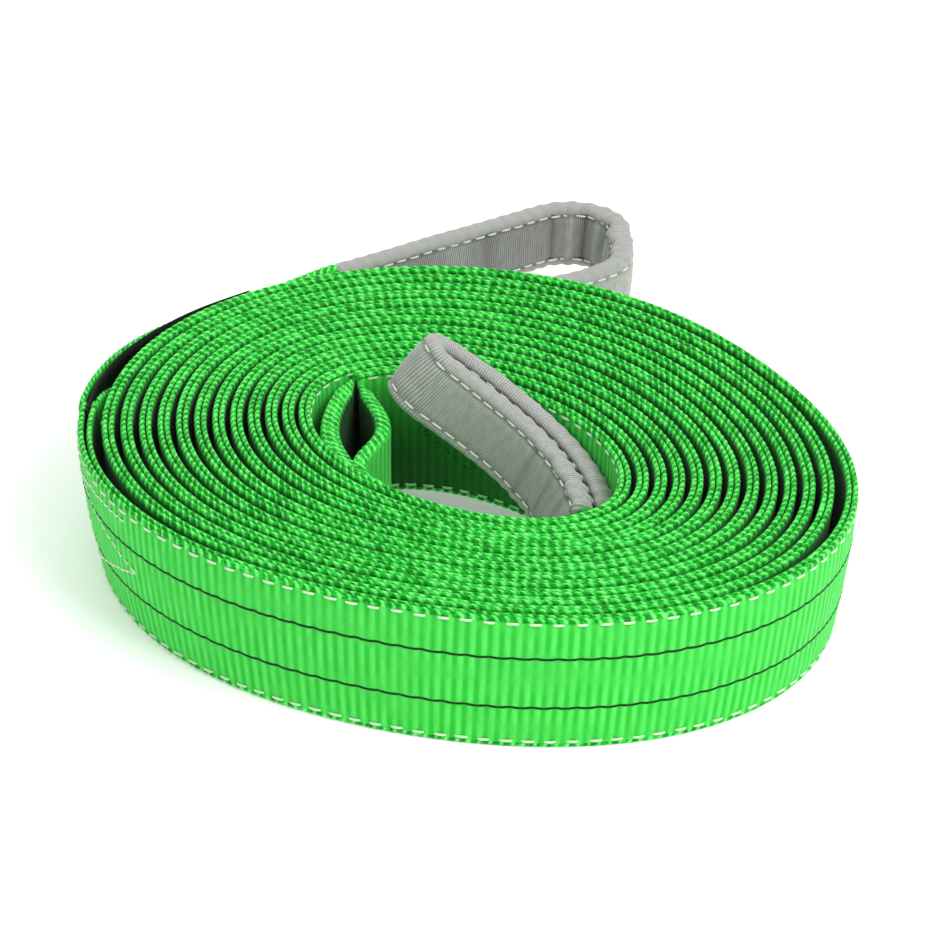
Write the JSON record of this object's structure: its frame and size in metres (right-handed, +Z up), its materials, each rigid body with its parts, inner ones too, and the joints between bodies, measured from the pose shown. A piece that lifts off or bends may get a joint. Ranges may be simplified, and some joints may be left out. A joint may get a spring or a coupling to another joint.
{
  "type": "web sling",
  "caption": "Flat two-ply lifting web sling with a sleeved eye at each end, coiled on edge.",
  "frame": {"origin": "middle of the coil, on the floor plane that the lower edges of the webbing stand on", "axes": "+Z up along the width of the webbing, +Y from the front of the coil towards the outer eye, +X to the right seen from the front"},
  "size_m": [0.3487, 0.4596, 0.0988],
  "materials": {
    "webbing": "woven",
    "sleeve": "woven",
    "thread": "satin",
    "tracer": "matte",
    "label": "satin"
  },
  "bodies": {
    "coil": {"outer_ply": "webbing", "inner_ply": "webbing", "upper_edge_seam": "thread", "lower_edge_seam": "thread", "upper_tracer": "tracer", "lower_tracer": "tracer", "outer_splice_stitching": "thread", "inner_splice_stitching": "thread", "inner_eye_legs": "webbing"},
    "tail": {"outer_eye_legs": "webbing", "identification_label": "label", "label_stitching": "thread"},
    "outer_eye": {"outer_eye_webbing": "webbing", "outer_eye_sleeve": "sleeve", "outer_sleeve_upper_seam": "thread", "outer_sleeve_lower_seam": "thread"},
    "inner_eye": {"inner_eye_webbing": "webbing", "inner_eye_sleeve": "sleeve", "inner_sleeve_upper_seam": "thread", "inner_sleeve_lower_seam": "thread"}
  },
  "joints": [
    {"name": "outer_tail_peel", "type": "hinge", "parent": "coil", "child": "tail", "pos_m": [-0.1739, 0.0126, 0.03125], "axis": [0, 0, 1], "range_deg": [0, 30]},
    {"name": "outer_eye_swing", "type": "hinge", "parent": "tail", "child": "outer_eye", "pos_m": [-0.0721, 0.1979, 0.03125], "axis": [0, 0, 1], "range_deg": [0, 25]},
    {"name": "inner_eye_lift", "type": "hinge", "parent": "coil", "child": "inner_eye", "pos_m": [0.0524, -0.0362, 0.0394], "axis": [0.5736, 0.8192, 0], "range_deg": [0, 40]}
  ]
}
